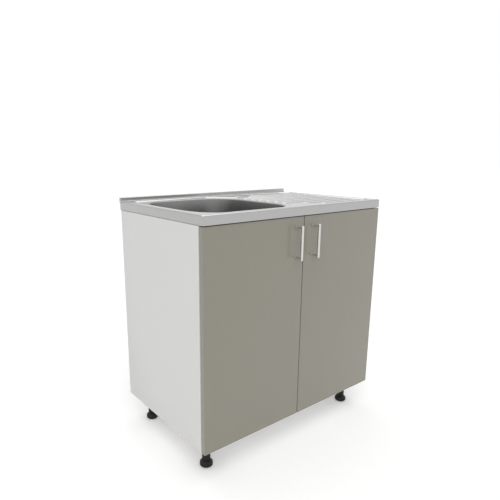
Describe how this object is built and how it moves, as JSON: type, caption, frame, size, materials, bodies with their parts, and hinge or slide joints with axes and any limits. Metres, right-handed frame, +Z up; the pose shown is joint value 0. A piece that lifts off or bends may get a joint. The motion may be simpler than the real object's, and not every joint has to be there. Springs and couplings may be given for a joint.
{
  "type": "kitchen sink unit",
  "caption": "Floor-standing kitchen cabinet with hinged glossy doors on adjustable legs and a lay-on pressed steel sink with bowl, ribbed drainer, strainer and bottle trap.",
  "frame": {"origin": "on the floor, at the bottom centre of the unit's overall box", "axes": "+Z up, doors and handles facing -Y, wall side +Y, bowl on the -X side and drainer on the +X side"},
  "size_m": [0.8, 0.5388, 0.8443],
  "materials": {
    "white_board": "white melamine on chipboard",
    "grey_gloss_door": "grey-beige high-gloss film on board",
    "stainless": "satin-polished stainless steel sheet",
    "satin_metal": "satin metal",
    "zinc_plate": "bright zinc or nickel plate",
    "black_plastic": "moulded black plastic",
    "white_plastic": "moulded white polypropylene",
    "rubber_gasket": "moulded rubber"
  },
  "bodies": {
    "root": {"side_left": "white_board", "side_right": "white_board", "bottom_panel": "white_board", "front_rail": "white_board", "rear_rail_upper": "white_board", "rear_rail_lower": "white_board", "leg_front_left": "black_plastic", "leg_front_right": "black_plastic", "leg_rear_left": "black_plastic", "leg_rear_right": "black_plastic", "hinge_arm_lower_left": "zinc_plate", "hinge_plate_lower_left": "zinc_plate", "hinge_arm_upper_left": "zinc_plate", "hinge_plate_upper_left": "zinc_plate", "hinge_arm_lower_right": "zinc_plate", "hinge_plate_lower_right": "zinc_plate", "hinge_arm_upper_right": "zinc_plate", "hinge_plate_upper_right": "zinc_plate"},
    "door_left": {"door_left": "grey_gloss_door", "handle_left": "satin_metal", "handle_screw_lower_left": "zinc_plate", "handle_screw_upper_left": "zinc_plate", "hinge_cup_lower_left": "zinc_plate", "hinge_cup_upper_left": "zinc_plate"},
    "hinge_links_left": {"hinge_link_lower_left": "zinc_plate", "hinge_link_upper_left": "zinc_plate"},
    "door_right": {"door_right": "grey_gloss_door", "handle_right": "satin_metal", "handle_screw_lower_right": "zinc_plate", "handle_screw_upper_right": "zinc_plate", "hinge_cup_lower_right": "zinc_plate", "hinge_cup_upper_right": "zinc_plate"},
    "hinge_links_right": {"hinge_link_lower_right": "zinc_plate", "hinge_link_upper_right": "zinc_plate"},
    "foot_front_left": {"foot_front_left": "black_plastic"},
    "foot_front_right": {"foot_front_right": "black_plastic"},
    "foot_rear_left": {"foot_rear_left": "black_plastic"},
    "foot_rear_right": {"foot_rear_right": "black_plastic"},
    "sink": {"sink_top": "stainless", "waste_flange": "stainless", "waste_gasket": "rubber_gasket", "waste_back_nut": "white_plastic", "trap_inlet_nut": "white_plastic", "trap_body": "white_plastic", "trap_cup": "white_plastic", "trap_outlet_nut": "white_plastic"},
    "strainer": {"strainer_basket": "stainless"}
  },
  "joints": [
    {"name": "door_left_hinge", "type": "hinge", "parent": "root", "child": "door_left", "pos_m": [-0.394, -0.2291, 0.449], "axis": [0, 0, -1], "range_deg": [0, 95]},
    {"name": "door_right_hinge", "type": "hinge", "parent": "root", "child": "door_right", "pos_m": [0.394, -0.2291, 0.449], "axis": [0, 0, 1], "range_deg": [0, 95]},
    {"name": "hinge_links_left_pivot", "type": "hinge", "parent": "root", "child": "hinge_links_left", "pos_m": [-0.38, -0.2161, 0.449], "axis": [0, 0, -1], "range_deg": [0, 86]},
    {"name": "hinge_links_right_pivot", "type": "hinge", "parent": "root", "child": "hinge_links_right", "pos_m": [0.38, -0.2161, 0.449], "axis": [0, 0, 1], "range_deg": [0, 86]},
    {"name": "foot_front_left_height", "type": "slide", "parent": "root", "child": "foot_front_left", "axis": [0, 0, -1], "range_m": [0, 0.02]},
    {"name": "foot_front_right_height", "type": "slide", "parent": "root", "child": "foot_front_right", "axis": [0, 0, -1], "range_m": [0, 0.02]},
    {"name": "foot_rear_left_height", "type": "slide", "parent": "root", "child": "foot_rear_left", "axis": [0, 0, -1], "range_m": [0, 0.02]},
    {"name": "foot_rear_right_height", "type": "slide", "parent": "root", "child": "foot_rear_right", "axis": [0, 0, -1], "range_m": [0, 0.02]},
    {"name": "sink_lift", "type": "slide", "parent": "root", "child": "sink", "axis": [0, 0, 1], "range_m": [0, 0.4]},
    {"name": "strainer_lift", "type": "slide", "parent": "sink", "child": "strainer", "axis": [0, 0, 1], "range_m": [0, 0.2]}
  ],
  "couplings": [
    {"joint": "hinge_links_left_pivot", "follows": "door_left_hinge", "ratio": 0.9},
    {"joint": "hinge_links_right_pivot", "follows": "door_right_hinge", "ratio": 0.9}
  ]
}
